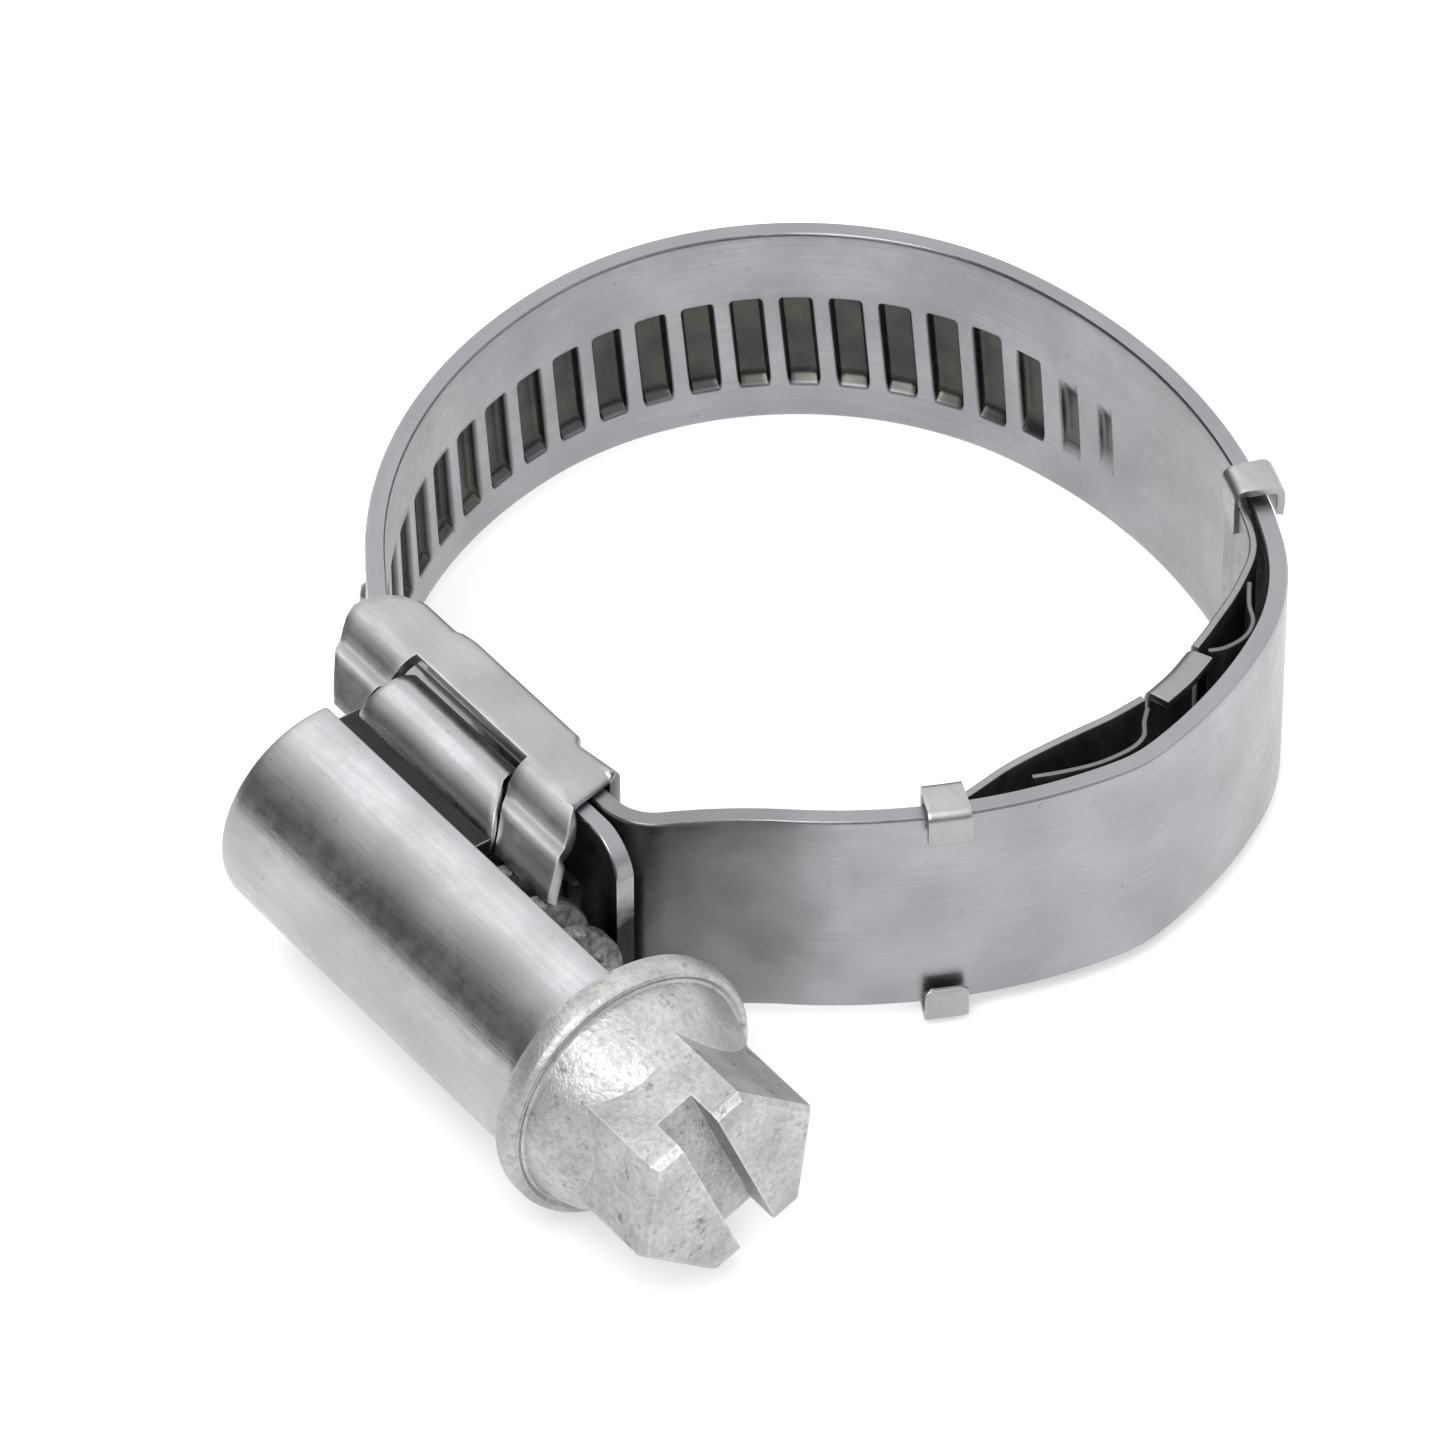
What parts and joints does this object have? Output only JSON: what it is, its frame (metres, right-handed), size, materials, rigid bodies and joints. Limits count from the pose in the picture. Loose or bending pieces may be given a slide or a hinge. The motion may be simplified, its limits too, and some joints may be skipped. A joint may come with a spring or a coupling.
{
  "type": "hose clamp",
  "caption": "Worm-drive hose clamp with a 9 mm pressed-thread steel band, a drum housing, a slotted hex screw and a sprung liner.",
  "frame": {"origin": "middle of the saddle's flat inner face, the face that bears on the hose, halfway across the band's width", "axes": "+X along the screw towards its hex head, +Y from the saddle into the hose, +Z along the hose, upwards when the clamp lies flat"},
  "size_m": [0.04, 0.0421, 0.0104],
  "materials": {
    "band_steel": "satin rolled stainless steel with fine lines along the band",
    "housing_steel": "smooth pressed stainless steel, brighter on the drum",
    "spring_steel": "thin bright spring steel strip",
    "zinc_plate": "matt zinc plating, slightly warm and speckled, on a cold-formed steel screw"
  },
  "bodies": {
    "housing": {"saddle": "housing_steel", "drum_shell": "housing_steel", "band_fixed_side": "band_steel", "front_liner": "spring_steel", "rear_liner": "spring_steel", "front_wave_spring": "spring_steel", "rear_wave_spring": "spring_steel"},
    "screw": {"worm_screw": "zinc_plate"},
    "far_arc": {"band_far_arc": "band_steel"},
    "free_end": {"band_free_end": "band_steel"},
    "bridge": {"liner_bridge": "spring_steel"}
  },
  "joints": [
    {"name": "screw_turn", "type": "hinge", "parent": "housing", "child": "screw", "pos_m": [0.01, -0.0065, 0], "axis": [-1, 0, 0], "range_deg": [0, 360]},
    {"name": "band_close", "type": "hinge", "parent": "housing", "child": "far_arc", "pos_m": [-0.00725, 0.02867, 0], "axis": [0, 0, 1], "range_deg": [0, 3.75]},
    {"name": "free_end_level", "type": "hinge", "parent": "far_arc", "child": "free_end", "pos_m": [-0.00725, -0.00192, 0], "axis": [0, 0, 1], "range_deg": [-3.75, 0]},
    {"name": "liner_press", "type": "slide", "parent": "housing", "child": "bridge", "axis": [0.9403, 0.3404, 0], "range_m": [0, 0.0006], "stiffness_N_per_m": 2000, "deforming": ["front_wave_spring", "rear_wave_spring"]}
  ],
  "couplings": [
    {"joint": "band_close", "follows": "screw_turn", "ratio": 0.010406},
    {"joint": "free_end_level", "follows": "screw_turn", "ratio": -0.010406}
  ]
}
